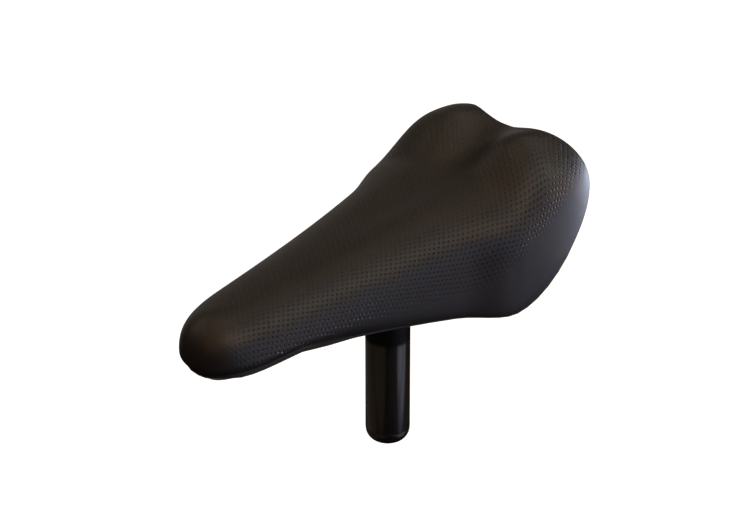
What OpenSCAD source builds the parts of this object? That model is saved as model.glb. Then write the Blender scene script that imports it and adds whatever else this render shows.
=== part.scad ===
// Balance bike saddle with a fixed seat post: a moulded skin over foam on a
// plastic base, screwed to a steel plate that carries the welded post.
// Frame: origin at the centre of the post tube's lower end, +X to the nose,
// +Y to the rider's left, +Z up. Millimetres.

/* [Plan outline] */
// Length from the tail lobes to the nose
saddle_length = 263; // [200:0.5:320]
// Full width across the wings
saddle_width = 115.6; // [90:0.2:170]
// How far the middle of the tail is cut in behind the lobes
notch_depth = 6; // [0:0.2:25]
// Sideways distance from the centre to the rearmost point of a lobe
lobe_offset = 45.6; // [20:0.2:50]
// Distance from the tail to the widest section
wing_station = 65.8; // [30:0.2:90]
// Distance from the tail to the narrowing section
waist_station = 103.6; // [90:0.2:150]
// Full width at the narrowing section
waist_width = 90.6; // [50:0.2:110]
// Side slope of the outline at the narrowing section, change of half width over length
waist_slope = -0.218; // [-0.6:0.002:0]
// Distance from the tail to the start of the nose round
nose_station = 226.4; // [180:0.2:260]
// Full width at the start of the nose round
nose_width = 54.6; // [30:0.2:70]
// Side slope of the outline at the nose, change of half width over length
nose_slope = -0.116; // [-0.4:0.002:0]

/* [Side profile, heights over the deck of the base] */
// Crest height at the tail
tail_crest = 65.6; // [30:0.2:80]
// Crest height over the post
middle_crest = 48.6; // [25:0.2:60]
// Crest height at the nose
nose_crest = 29; // [12:0.2:45]
// Height of the two rear lobes over the centre channel
lobe_rise = 16.6; // [0:0.2:25]
// Sideways distance over which the channel climbs to a lobe at the tail
channel_half_width = 48.6; // [15:0.2:55]
// The same distance where the channel has narrowed
channel_narrow_width = 26.6; // [15:0.2:55]
// Length from the tail over which the channel narrows
channel_narrow_length = 46; // [20:1:90]
// Depth of the groove that carries the channel on to the middle
groove_depth = 3.2; // [0:0.2:6]
// Half width of the groove
groove_half_width = 17; // [8:0.5:30]
// Distance from the tail where the groove starts
groove_start = 15; // [0:1:60]
// Distance from the tail where the groove has its full depth
groove_full = 60; // [30:1:100]
// Distance from the tail where the groove begins to fade
groove_fade = 95; // [70:1:140]
// Distance from the tail where the groove has run out
groove_end = 165; // [120:1:220]
// Distance from the tail where the lobes have run out
channel_end = 75.2; // [60:0.2:160]
// Lift of the channel floor at the tail
channel_lift = 10; // [0:0.2:12]
// Fall of the crest over the last stretch to the tail
tail_fall = 12; // [0:0.2:20]
// Further fall at the two lobes
lobe_fall = 2.2; // [0:0.2:12]
// Length of that last stretch
tail_fall_length = 50.8; // [20:0.2:80]
// Height of the widest line of the flank at the tail
tail_girth = 24.2; // [8:0.2:40]
// Further rise of that line at the two lobes
lobe_girth_rise = 9.2; // [0:0.2:14]
// Height of the widest line of the flank at the nose
nose_girth = 5.4; // [-5:0.2:20]
// Height of the cover's lower edge at the tail
tail_hem = 17.6; // [-10:0.2:30]
// Height of the cover's lower edge at the wings
wing_hem = -18.8; // [-30:0.2:10]
// Height of the cover's lower edge beside the post
waist_hem = -12.2; // [-25:0.2:10]
// Height of the cover's lower edge at the nose
nose_hem = 11.6; // [-15:0.2:15]
// How far the flank rolls in below its widest line
flank_roll = 5.4; // [1:0.2:10]
// Squareness of the shoulder at the tail, 2 is a plain round
tail_squareness = 2.25; // [1.8:0.05:4]
// Squareness of the shoulder from the middle to the nose
nose_squareness = 2.35; // [1.8:0.05:4.5]

/* [Cover and base] */
// Thickness of the moulded skin
skin = 1.2; // [0.8:0.1:3]
// Open slit between the cover's lower edge and the lip of the base
slit = 0.8; // [0.3:0.1:2]
// Wall thickness of the base shell
shell_wall = 3; // [2:0.1:5]
// Depth of the lip where it shows behind the nose
lip_depth = 3; // [1.5:0.1:6]
// Depth of the lip where the cover hides it
lip_depth_hidden = 1.6; // [1:0.1:4]
// Reach of the hidden lip under the skin, 1 brings it flush with the cover
lip_reach = 0.3; // [0.1:0.05:1]
// Depth of the ribs below the base shell
rib_depth = 5; // [2:0.5:10]
// Thickness of the ribs
rib_wall = 2.2; // [1.5:0.1:4]

/* [Post and mounting plate] */
// Outside diameter of the post tube
post_diameter = 25.4; // [22.2:0.1:31.6]
// Wall thickness of the post tube
post_wall = 2; // [1.2:0.1:3.5]
// Length of the tube from its lower end to the mounting plate
post_length = 82.2; // [60:0.2:250]
// Distance from the tail to the post axis
post_station = 115.4; // [90:0.2:150]
// Thickness of the mounting plate
plate_thickness = 3; // [2:0.5:6]
// Length of the mounting plate
plate_length = 84; // [70:1:120]
// Width of the mounting plate
plate_width = 40; // [34:1:60]
// Corner radius of the mounting plate
plate_corner = 8; // [3:0.5:12]
// Leg of the weld bead round the top of the post
weld_leg = 3.5; // [2:0.5:6]
// Depth of the bevel on the tube's end under the weld bead
weld_bevel = 0.8; // [0.2:0.1:1]
// Height of the plug's rim below the tube
plug_rim = 6; // [3:0.5:10]
// How far the plug's rim stands inside the tube's outer wall
plug_setback = 0.2; // [0.1:0.1:1]
// Edge radius of the plug's rim
plug_round = 5.6; // [0.5:0.1:6]
// Depth of the plug inside the tube
plug_depth = 14; // [8:1:30]
// Wall thickness of the plug
plug_wall = 2; // [1:0.1:3]
// Radial room between plug and tube
plug_room = 0.1; // [0.05:0.05:0.5]

/* [Fasteners] */
// Nominal diameter of the screws
screw_size = 5; // [4:1:8]
// Distance between the front and rear screws
screw_span_x = 62; // [50:1:100]
// Distance between the left and right screws
screw_span_y = 22; // [18:1:44]
// Length of the screw under its head
screw_length = 10; // [8:1:20]
// Height of the screw head
head_height = 2.8; // [2:0.1:6]
// Diameter of the screw head
head_diameter = 9.5; // [8:0.5:16]
// Width across the flats of the hex socket
socket_width = 3; // [2:0.5:6]
// Depth of the hex socket
socket_depth = 1.6; // [1:0.1:4]
// Outside diameter of the washer
washer_diameter = 10.6; // [9:0.1:20]
// Thickness of the washer
washer_thickness = 1; // [0.6:0.1:2]
// Radial room round a screw in its washer, plate and insert
screw_room = 0.2; // [0.1:0.05:0.5]
// Outside diameter of the threaded insert
insert_diameter = 8; // [7:0.5:12]
// Radial room between an insert and its boss
insert_room = 0.05; // [0.02:0.01:0.2]
// Wall of a boss round its insert
boss_wall = 2.4; // [1.5:0.1:5]
// Height of the bosses from the plate to the underside of the deck
boss_height = 6; // [4:0.5:12]

/* [Hidden] */
$fn = 48;
plate_top = post_length + plate_thickness;
deck_under = plate_top + boss_height;
deck = deck_under + shell_wall;
half_width = saddle_width / 2;
spine_start = 35.8;
spine_end = saddle_length - 22;
spine_step = 1.3;
insert_top = deck - 1.4;
post_radius = post_diameter / 2;
overlap = 0.4;

// Row angles over the shoulder, then down the flank
TOP_ANGLES = [0, 6, 13, 25, 37, 48, 58, 67, 75, 82, 87, 90];
FLANK_ANGLES = [24, 46, 68];

// Fastener places, as signs along X and Y
PLACES = [[1, 1], [1, -1], [-1, 1], [-1, -1]];
function place(p) = [p[0] * screw_span_x / 2, p[1] * screw_span_y / 2, 0];

function ramp(a, b, x) = let (t = min(1, max(0, (x - a) / (b - a)))) t * t * (3 - 2 * t);
function bez(a, b, c, d, t) =
    pow(1 - t, 3) * a + 3 * pow(1 - t, 2) * t * b + 3 * (1 - t) * t * t * c + pow(t, 3) * d;
function arc_of(a, b, c, d, n) = [for (k = [0 : n - 1]) bez(a, b, c, d, k / n)];

// Half of the plan outline, from the notch round the lobe and wing to the nose
lobe_bulge = 0.858 * (half_width - lobe_offset);
wing_reach = 0.336 * wing_station;
waist_step = (waist_station - wing_station) / 2.6;
nose_step = (nose_station - waist_station) / 3;
nose_reach = saddle_length - nose_station;
HALF = concat(
    arc_of([notch_depth, 0], [notch_depth, lobe_offset * 0.665],
           [0, lobe_offset * 0.914], [0, lobe_offset], 6),
    arc_of([0, lobe_offset], [0, lobe_offset + lobe_bulge],
           [wing_station - wing_reach, half_width], [wing_station, half_width], 9),
    arc_of([wing_station, half_width], [wing_station + waist_step, half_width],
           [waist_station - waist_step, waist_width / 2 - waist_slope * waist_step],
           [waist_station, waist_width / 2], 6),
    arc_of([waist_station, waist_width / 2],
           [waist_station + nose_step, waist_width / 2 + waist_slope * nose_step],
           [nose_station - nose_step, nose_width / 2 - nose_slope * nose_step],
           [nose_station, nose_width / 2], 7),
    arc_of([nose_station, nose_width / 2],
           [nose_station + 0.6 * nose_reach, nose_width / 2 + 0.6 * nose_slope * nose_reach],
           [saddle_length, nose_width * 0.31], [saddle_length, 0], 8),
    [[saddle_length, 0]]);
LAST = len(HALF) - 1;
LOBE = 6;

// Spine the rows spread from, always moving forward
SPINE = [for (i = [0 : LAST]) i < LOBE ? spine_start - spine_step * (LOBE - i)
         : spine_start + (spine_end - spine_start) * HALF[i][0] / saddle_length];

// Smooth curve through three or four heights that never overshoots them
function slopes(xs, ys) = [for (k = [0 : len(xs) - 2]) (ys[k + 1] - ys[k]) / (xs[k + 1] - xs[k])];
function inner_slope(a, b, h, g) = a * b <= 0 ? 0
    : 3 * (h + g) / ((2 * g + h) / a + (g + 2 * h) / b);
function end_slope(a, b, h, g) = let (d = ((2 * h + g) * a - h * b) / (h + g))
    d * a <= 0 ? 0 : a * b <= 0 && abs(d) > 3 * abs(a) ? 3 * a : d;
function knot_slope(xs, s, k) = let (n = len(s))
    k == 0 ? end_slope(s[0], s[1], xs[1] - xs[0], xs[2] - xs[1])
    : k == n ? end_slope(s[n - 1], s[n - 2], xs[n] - xs[n - 1], xs[n - 1] - xs[n - 2])
    : inner_slope(s[k - 1], s[k], xs[k] - xs[k - 1], xs[k + 1] - xs[k]);
function piece_of(xs, x) = max([for (k = [0 : len(xs) - 2]) x >= xs[k] ? k : 0]);
function curve(xs, ys, x) = let (
        k = piece_of(xs, x), s = slopes(xs, ys), h = xs[k + 1] - xs[k], t = (x - xs[k]) / h,
        a = knot_slope(xs, s, k), b = knot_slope(xs, s, k + 1))
    (2 * pow(t, 3) - 3 * t * t + 1) * ys[k] + (pow(t, 3) - 2 * t * t + t) * h * a
    + (3 * t * t - 2 * pow(t, 3)) * ys[k + 1] + (pow(t, 3) - t * t) * h * b;

function climb(x, y) = ramp(0, channel_half_width
    + (channel_narrow_width - channel_half_width) * ramp(0, channel_narrow_length, x), abs(y));
function groove(x, y) = groove_depth * (1 - ramp(0, groove_half_width, abs(y)))
    * ramp(groove_start, groove_full, x) * (1 - ramp(groove_fade, groove_end, x));
function crest(x, y) =
    curve([0, 0.9 * waist_station, saddle_length], [tail_crest, middle_crest, nose_crest], x)
    + lobe_rise * climb(x, y) * (1 - ramp(40, channel_end, x))
    + channel_lift * (1 - climb(x, y)) * (1 - ramp(0, 60, x)) - groove(x, y)
    - (tail_fall + lobe_fall * climb(x, y)) * pow(max(0, 1 - x / tail_fall_length), 2);
function girth(x, y) = tail_girth + (nose_girth - tail_girth) * x / saddle_length
    + lobe_girth_rise * ramp(0, channel_half_width, y) * (1 - ramp(20, channel_end, x));
function hem(x) = curve([0, wing_station, waist_station, saddle_length],
                        [tail_hem, wing_hem, waist_hem, nose_hem], x);
function squareness(x) = tail_squareness + (nose_squareness - tail_squareness) * ramp(0, 48.8, x);

GIRTH = [for (p = HALF) girth(p[0], p[1])];
HEM = [for (i = [0 : LAST]) min(hem(HALF[i][0]), GIRTH[i] - 5)];
SQUARE = [for (p = HALF) squareness(p[0])];

// Outer face of the cover: one row of half points for every angle
function shoulder_point(i, a) = let (
        r = pow(sin(a), 2 / SQUARE[i]), x = SPINE[i] + (HALF[i][0] - SPINE[i]) * r, y = HALF[i][1] * r)
    [x, y, GIRTH[i] + (crest(x, y) - GIRTH[i]) * pow(cos(a), 2 / SQUARE[i])];
function flank_point(i, a) = let (
        out = [HALF[i][0] - SPINE[i], HALF[i][1]], u = out / norm(out),
        in = flank_roll * (1 - cos(a)), down = sin(a) / sin(FLANK_ANGLES[len(FLANK_ANGLES) - 1]))
    [HALF[i][0] - u[0] * in, HALF[i][1] - u[1] * in, GIRTH[i] + (HEM[i] - GIRTH[i]) * down];
OUTER = concat([for (a = TOP_ANGLES) [for (i = [0 : LAST]) shoulder_point(i, a)]],
               [for (a = FLANK_ANGLES) [for (i = [0 : LAST]) flank_point(i, a)]]);
ROWS = len(OUTER);

// Inner face: every point moved in by the skin, square to the surface
function mirrored(p) = [p[0], -p[1], p[2]];
function at(rows, k, i) = i < 0 ? mirrored(rows[k][-i]) : i > LAST ? mirrored(rows[k][2 * LAST - i])
    : k < 0 ? mirrored(rows[-k][i]) : rows[min(k, ROWS - 1)][i];
function inward(rows, k, i) = let (
        end = k == 0 && (i == 0 || i == LAST),
        t = end ? rows[1][i] - rows[0][i == 0 ? 1 : i - 1] : [0, 0, 0],
        n = end ? [t[2], 0, -t[0]] * sign(t[0])
          : cross(at(rows, k + 1, i) - at(rows, k - 1, i), at(rows, k, i + 1) - at(rows, k, i - 1)))
    n / norm(n);
function on_plane(p, i, k) = (i == 0 || i == LAST || k == 0) ? [p[0], 0, p[2]] : p;
INNER = [for (k = [0 : ROWS - 1]) [for (i = [0 : LAST])
    on_plane(OUTER[k][i] + skin * inward(OUTER, k, i), i, k)]];

// Rim of the base: the foam's lower edge, a slit below the cover
RIM = [for (i = [0 : LAST]) [INNER[ROWS - 1][i][0], INNER[ROWS - 1][i][1], HEM[i] - slit]];
DECK_PARTS = [0, 0.3, 0.5, 0.56, 0.72, 0.87];
function deck_point(i, r) = let (k = 2, s = SPINE[i])
    [s + (RIM[i][0] - s) * r, RIM[i][1] * r, RIM[i][2] * ramp(0.42, 1.08, r) / ramp(0.42, 1.08, 1)];
DECK_ROWS = [for (r = DECK_PARTS) [for (i = [0 : LAST]) deck_point(i, r)]];

function lowered(row, d) = [for (p = row) [p[0], p[1], p[2] - d]];
function shown(i) = ramp(0.62, 0.76, HALF[i][0] / saddle_length)
    * (1 - ramp(0.93, 0.985, HALF[i][0] / saddle_length));
function lip_point(i, drop) = let (
        edge = OUTER[ROWS - 1][i], rim = RIM[i], f = lip_reach + (1 - lip_reach) * shown(i))
    [rim[0] + (edge[0] - rim[0]) * f, rim[1] + (edge[1] - rim[1]) * f,
     RIM[i][2] - drop * (lip_depth_hidden + (lip_depth - lip_depth_hidden) * shown(i))];

// Closed skin through rows of half points; the first and last rows lie on the spine
function flat_row(row) = concat(row, [for (i = [LAST - 1 : -1 : 1]) mirrored(row[i])]);
RING = 2 * LAST;
function spot(k, j, n) = k == 0 ? min(j, RING - j)
    : k == n - 1 ? (LAST + 1) + (n - 2) * RING + min(j, RING - j) : (LAST + 1) + (k - 1) * RING + j;
function split(a, b, c, d, j, last_band) = (j < LAST - 1 || j == LAST) != last_band
    ? [[a, b, c], [a, c, d]] : [[a, b, d], [b, c, d]];
module skin_solid(rows) {
    n = len(rows);
    points = concat(rows[0], [for (k = [1 : n - 2]) each flat_row(rows[k])], rows[n - 1]);
    faces = [for (k = [0 : n - 2]) for (j = [0 : RING - 1])
        let (m = (j + 1) % RING)
        each split(spot(k, j, n), spot(k + 1, j, n), spot(k + 1, m, n), spot(k, m, n),
                   j, k == n - 2)];
    translate([-post_station, 0, deck]) polyhedron(points = points, faces = faces, convexity = 8);
}

function backwards(rows) = [for (k = [len(rows) - 1 : -1 : 0]) rows[k]];

module cover() {
    color("#1c1a19") skin_solid(concat(OUTER, backwards(INNER)));
}

module foam_pad() {
    color("#3b3a38") skin_solid(concat(INNER, [RIM], backwards(DECK_ROWS)));
}

// Ring rib at the edge of the flat deck is part of the underside rows
module shell_body() {
    under = [for (row = DECK_ROWS) lowered(row, shell_wall)];
    lip_top = [for (i = [0 : LAST]) lip_point(i, 0)];
    lip_low = [for (i = [0 : LAST]) lip_point(i, 1)];
    rim_low = [for (i = [0 : LAST]) let (e = lip_point(i, 1), r = deck_point(i, 0.94))
               [r[0], r[1], min(e[2], r[2] - shell_wall)]];
    skin_solid(concat(DECK_ROWS, [RIM], [lip_top], [lip_low], [rim_low],
        [under[5], under[4], under[3], lowered(under[3], rib_depth), lowered(under[2], rib_depth),
         under[2], under[1], under[0]]));
}

module radial_rib(i, side) {
    a = deck_point(i, 0.53);
    b = deck_point(i, 0.93);
    m = deck_point(i, 0.72);
    u = [b[0] - a[0], b[1] - a[1]] / norm([b[0] - a[0], b[1] - a[1]]);
    v = [-u[1], u[0]] * rib_wall / 2;
    sunk = shell_wall / 2;
    path = [a, m, b];
    low = [rib_depth, rib_depth, 0.5];
    points = [for (k = [0 : 2]) each [
        [path[k][0] + v[0], side * (path[k][1] + v[1]), path[k][2] - sunk],
        [path[k][0] - v[0], side * (path[k][1] - v[1]), path[k][2] - sunk],
        [path[k][0] - v[0], side * (path[k][1] - v[1]), path[k][2] - shell_wall - low[k]],
        [path[k][0] + v[0], side * (path[k][1] + v[1]), path[k][2] - shell_wall - low[k]]]];
    sides = [for (k = [0, 1]) for (j = [0 : 3]) let (p = 4 * k + j, q = 4 * k + (j + 1) % 4)
        each [[p, q, q + 4], [p, q + 4, p + 4]]];
    faces = concat([[0, 2, 1], [0, 3, 2], [8, 9, 10], [8, 10, 11]], sides);
    translate([-post_station, 0, deck])
        polyhedron(points = points, faces = side < 0 ? faces : [for (f = faces) [f[0], f[2], f[1]]]);
}

RIBS = [3, 8, 12, 16, 20, 24, 28];

module base_shell() {
    boss_radius = insert_diameter / 2 + boss_wall;
    color("#262626") difference() {
        union() {
            shell_body();
            for (i = RIBS) for (side = [-1, 1]) radial_rib(i, side);
            for (p = PLACES) translate(place(p) + [0, 0, plate_top])
                cylinder(r = boss_radius, h = boss_height + shell_wall / 2);
        }
        for (p = PLACES) translate(place(p) + [0, 0, plate_top - overlap])
            cylinder(r = insert_diameter / 2 + insert_room, h = insert_top - plate_top + overlap);
    }
}

module insert(p) {
    color("#b08d4a") translate(place(p)) difference() {
        translate([0, 0, plate_top]) cylinder(d = insert_diameter, h = insert_top - plate_top);
        translate([0, 0, plate_top - overlap])
            cylinder(r = screw_size / 2 + screw_room, h = insert_top - plate_top - 1 + overlap);
    }
}
module insert_front_left() { insert(PLACES[0]); }
module insert_front_right() { insert(PLACES[1]); }
module insert_rear_left() { insert(PLACES[2]); }
module insert_rear_right() { insert(PLACES[3]); }

module mounting_plate() {
    x = plate_length / 2 - plate_corner;
    y = plate_width / 2 - plate_corner;
    color("#1a1b1d") translate([0, 0, post_length]) difference() {
        union() {
            translate([-x, -plate_width / 2, 0]) cube([2 * x, plate_width, plate_thickness]);
            translate([-plate_length / 2, -y, 0]) cube([plate_length, 2 * y, plate_thickness]);
            for (sx = [-1, 1]) for (sy = [-1, 1]) translate([sx * x, sy * y, 0])
                cylinder(r = plate_corner, h = plate_thickness);
        }
        for (p = PLACES) translate(place(p) - [0, 0, overlap])
            cylinder(r = screw_size / 2 + screw_room, h = plate_thickness + 2 * overlap);
    }
}

// Bead in the corner of tube and plate, sunk into the bevelled end of the tube
module weld_bead() {
    color("#232427") translate([0, 0, post_length]) rotate_extrude()
        polygon([[post_radius - weld_bevel, 0], [post_radius + weld_leg, 0],
                 [post_radius + 0.45 * weld_leg, -0.45 * weld_leg], [post_radius, -weld_leg]]);
}

module seat_post() {
    color("#17181a") difference() {
        union() {
            cylinder(r = post_radius, h = post_length - weld_leg);
            translate([0, 0, post_length - weld_leg])
                cylinder(r1 = post_radius, r2 = post_radius - weld_bevel, h = weld_leg);
        }
        translate([0, 0, -overlap])
            cylinder(r = post_radius - post_wall, h = post_length + 2 * overlap);
    }
}

module post_end_plug() {
    bore = post_radius - post_wall;
    rim = post_radius - plug_setback;
    color("#141414") difference() {
        rotate_extrude() union() {
            translate([0, -plug_rim]) square([rim - plug_round, plug_rim]);
            translate([0, plug_round - plug_rim]) square([rim, plug_rim - plug_round]);
            intersection() {
                translate([rim - plug_round, plug_round - plug_rim]) circle(r = plug_round);
                translate([0, -plug_rim]) square([rim, plug_rim]);
            }
            translate([0, -overlap]) square([bore - plug_room, plug_depth + overlap]);
        }
        translate([0, 0, -plug_rim + plug_wall])
            cylinder(r = bore - plug_room - plug_wall, h = plug_depth + plug_rim);
    }
}

module washer(p) {
    color("#8d9094") translate(place(p) + [0, 0, post_length - washer_thickness]) difference() {
        cylinder(d = washer_diameter, h = washer_thickness);
        translate([0, 0, -overlap])
            cylinder(r = screw_size / 2 + screw_room, h = washer_thickness + 2 * overlap);
    }
}
module washer_front_left() { washer(PLACES[0]); }
module washer_front_right() { washer(PLACES[1]); }
module washer_rear_left() { washer(PLACES[2]); }
module washer_rear_right() { washer(PLACES[3]); }

module screw(p) {
    seat = post_length - washer_thickness;
    color("#2a2b2d") translate(place(p)) difference() {
        union() {
            translate([0, 0, seat]) cylinder(d = screw_size, h = screw_length);
            translate([0, 0, seat]) rotate_extrude()
                polygon([[0, 0], [head_diameter / 2, 0], [head_diameter / 2, -0.35 * head_height],
                         [0.42 * head_diameter, -0.7 * head_height],
                         [0.28 * head_diameter, -head_height], [0, -head_height]]);
        }
        translate([0, 0, seat - head_height - overlap])
            cylinder(d = socket_width / cos(30), h = socket_depth + overlap, $fn = 6);
    }
}
module screw_front_left() { screw(PLACES[0]); }
module screw_front_right() { screw(PLACES[1]); }
module screw_rear_left() { screw(PLACES[2]); }
module screw_rear_right() { screw(PLACES[3]); }

cover();
foam_pad();
base_shell();
insert_front_left();
insert_front_right();
insert_rear_left();
insert_rear_right();
mounting_plate();
weld_bead();
seat_post();
post_end_plug();
screw_front_left();
screw_front_right();
screw_rear_left();
screw_rear_right();
washer_front_left();
washer_front_right();
washer_rear_left();
washer_rear_right();
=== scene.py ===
"""Balance bike saddle on its seat post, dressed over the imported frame.

Axes: +X to the nose, +Y to the rider's left, +Z up, origin at the post tube's
lower end. Sizes in the dataclasses are millimetres; meshes are in metres.
"""

import logging
import math
from collections.abc import Callable
from dataclasses import dataclass, field
from enum import Enum

import bmesh
import bpy
import numpy as np
from mathutils import Matrix, Vector


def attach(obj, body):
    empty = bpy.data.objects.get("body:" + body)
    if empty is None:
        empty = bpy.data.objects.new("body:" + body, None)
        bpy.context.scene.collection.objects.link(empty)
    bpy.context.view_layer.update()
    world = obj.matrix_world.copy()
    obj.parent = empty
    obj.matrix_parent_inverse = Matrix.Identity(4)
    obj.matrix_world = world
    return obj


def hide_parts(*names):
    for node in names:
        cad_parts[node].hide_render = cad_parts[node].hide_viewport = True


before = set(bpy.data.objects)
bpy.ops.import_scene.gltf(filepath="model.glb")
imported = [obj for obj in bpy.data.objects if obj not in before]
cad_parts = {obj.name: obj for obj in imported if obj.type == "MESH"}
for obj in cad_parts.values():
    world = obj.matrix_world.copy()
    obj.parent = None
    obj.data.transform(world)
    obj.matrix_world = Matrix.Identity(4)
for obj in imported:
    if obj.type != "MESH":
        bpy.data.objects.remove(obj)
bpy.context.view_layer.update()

LOG = logging.getLogger("saddle")
MM = 0.001
BODY = "root"
POST_LENGTH = 82.2
SCREW_SPAN = (62.0, 22.0)
PICTURE = (750.0, 531.0)
SENSOR = 36.0
SIGNS = ((1, 1), (1, -1), (-1, 1), (-1, -1))
PLACES = ("front_left", "front_right", "rear_left", "rear_right")
WHITE = (1.0, 1.0, 1.0, 1.0)
DUST = (0.2, 0.2, 0.2, 1.0)

Piece = bpy.types.Object
Material = bpy.types.Material
Node = bpy.types.Node
Tree = bpy.types.NodeTree
Row = np.ndarray


class Slot(Enum):
    """Material slots of the record."""

    SKIN = "skin"
    FOAM = "foam"
    BASE = "base"
    STEEL = "black_steel"
    PLUG = "plug"
    SCREW = "screw_steel"
    ZINC = "zinc"


def ramp(low: float, high: float, x: Row) -> Row:
    """Smooth step from 0 at low to 1 at high.

    Args:
        low: Where the step starts.
        high: Where the step ends.
        x: Value or array.

    Returns:
        The step, shaped like x.
    """
    t = np.clip((np.asarray(x, float) - low) / (high - low), 0.0, 1.0)
    return t * t * (3.0 - 2.0 * t)


def direction(azimuth: float, elevation: float) -> Vector:
    """Unit vector towards a place in the room.

    Args:
        azimuth: Degrees from the nose towards the rider's left.
        elevation: Degrees above the horizontal.

    Returns:
        The vector.
    """
    az, el = math.radians(azimuth), math.radians(elevation)
    return Vector((math.cos(el) * math.cos(az), math.cos(el) * math.sin(az), math.sin(el)))


def link(item: Piece) -> None:
    """Adds an object to the scene.

    Args:
        item: The object.
    """
    bpy.context.scene.collection.objects.link(item)


def leave_edit() -> None:
    """Goes back to object mode."""
    if bpy.context.mode != "OBJECT":
        bpy.ops.object.mode_set(mode="OBJECT")


def deselect() -> None:
    """Leaves nothing selected, so that an operator touches only its own piece."""
    leave_edit()
    bpy.ops.object.select_all(action="DESELECT")


def activate(piece: Piece) -> None:
    """Makes one piece the only selected and active object.

    Args:
        piece: The piece to work on.
    """
    deselect()
    piece.select_set(True)
    bpy.context.view_layer.objects.active = piece


def edit(piece: Piece) -> None:
    """Opens a piece in edit mode.

    Args:
        piece: The piece to shape.
    """
    activate(piece)
    bpy.ops.object.mode_set(mode="EDIT")


def seat(piece: Piece) -> None:
    """Moves a piece's place into its mesh, so its object sits at the origin.

    Args:
        piece: The piece to settle.
    """
    activate(piece)
    bpy.ops.object.transform_apply(location=True, rotation=True, scale=True)


def started(name: str, scale: tuple = (1.0, 1.0, 1.0)) -> Piece:
    """Names and settles the object that an operator has just added.

    Args:
        name: Its name.
        scale: Its scale on each axis, settled into the mesh.

    Returns:
        The piece.
    """
    piece = bpy.context.object
    piece.name = piece.data.name = name
    piece.scale = scale
    seat(piece)
    return piece


def apply_modifiers(piece: Piece) -> None:
    """Applies every modifier of a piece in order.

    Args:
        piece: The piece to finish.
    """
    activate(piece)
    for modifier in list(piece.modifiers):
        bpy.ops.object.modifier_apply(modifier=modifier.name)


def smooth(piece: Piece, angle: float) -> None:
    """Shades a piece smooth, apart from edges sharper than the angle.

    Args:
        piece: The piece to shade.
        angle: Limit in degrees.
    """
    activate(piece)
    bpy.ops.object.shade_smooth_by_angle(angle=math.radians(angle))


def bevel(piece: Piece, width: float, segments: int, angle: float) -> None:
    """Rounds the sharp edges of a piece and shades it smooth.

    Args:
        piece: The piece to finish.
        width: Bevel width in millimetres.
        segments: Faces across the round.
        angle: Edges sharper than this, in degrees, are rounded.
    """
    modifier = piece.modifiers.new("edge_round", "BEVEL")
    modifier.width = width * MM
    modifier.segments = segments
    modifier.limit_method = "ANGLE"
    modifier.angle_limit = math.radians(angle)
    modifier.harden_normals = False
    apply_modifiers(piece)
    smooth(piece, 50.0)


def finish_piece(piece: Piece, slot: Slot, material: Material, *nodes: str) -> Piece:
    """Gives a piece its material and body, and hides the CAD nodes it stands for.

    Args:
        piece: The finished piece.
        slot: Material slot in the record; not used.
        material: Its material.
        *nodes: CAD nodes that it replaces.

    Returns:
        The same piece.
    """
    piece.data.materials.clear()
    piece.data.materials.append(material)
    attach(piece, BODY)
    if nodes:
        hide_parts(*nodes)
    LOG.info("%s: %d faces", piece.name, len(piece.data.polygons))
    return piece


def select_where(piece: Piece, kind: str, test: Callable) -> None:
    """Selects what passes a test, in edit mode.

    Args:
        piece: The piece being shaped.
        kind: FACE, EDGE or VERT.
        test: Says whether a face, edge or vertex is selected.
    """
    bpy.ops.mesh.select_mode(type=kind)
    bpy.ops.mesh.select_all(action="DESELECT")
    work = bmesh.from_edit_mesh(piece.data)
    for item in {"FACE": work.faces, "EDGE": work.edges, "VERT": work.verts}[kind]:
        if test(item):
            item.select = True
    bmesh.update_edit_mesh(piece.data)


def at_height(piece: Piece, height: float, kind: str = "FACE") -> None:
    """Selects the faces or edges that lie at one height, in edit mode.

    Args:
        piece: The piece being shaped.
        height: Their height in millimetres.
        kind: FACE or EDGE.
    """
    select_where(piece, kind, lambda item: all(
        abs(v.co.z / MM - height) <= 0.01 for v in item.verts))


def turned_part(name: str, radius: float, bottom: float, top: float, sides: int) -> Piece:
    """Starts a round part as a closed cylinder, left in edit mode.

    Args:
        name: Piece name.
        radius: Radius in millimetres.
        bottom: Lower height in millimetres.
        top: Upper height in millimetres.
        sides: Faces round it.

    Returns:
        The piece.
    """
    deselect()
    bpy.ops.mesh.primitive_cylinder_add(vertices=sides, radius=radius * MM,
                                        depth=(top - bottom) * MM, end_fill_type="NGON",
                                        location=(0, 0, (top + bottom) / 2 * MM))
    piece = started(name)
    edit(piece)
    return piece


def step_in(piece: Piece, height: float, wall: float, rise: float) -> None:
    """Insets the end face at a height and moves the inner face along Z.

    Args:
        piece: The piece, in edit mode.
        height: Height of the end face in millimetres.
        wall: Inset width in millimetres.
        rise: How far the inner face then moves, in millimetres.
    """
    at_height(piece, height)
    bpy.ops.mesh.inset(thickness=wall * MM)
    bpy.ops.mesh.extrude_region_move(TRANSFORM_OT_translate={"value": (0, 0, rise * MM)})


def open_through(piece: Piece, ends: dict[float, float]) -> None:
    """Opens a hole through a round part and leaves edit mode.

    Args:
        piece: The piece, in edit mode.
        ends: Wall thickness at the height of each end face, in millimetres.
    """
    for height, wall in ends.items():
        at_height(piece, height)
        bpy.ops.mesh.inset(thickness=wall * MM)
        bpy.ops.mesh.delete(type="ONLY_FACE")
    select_where(piece, "EDGE", lambda edge: edge.is_boundary)
    bpy.ops.mesh.bridge_edge_loops()
    leave_edit()


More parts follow.
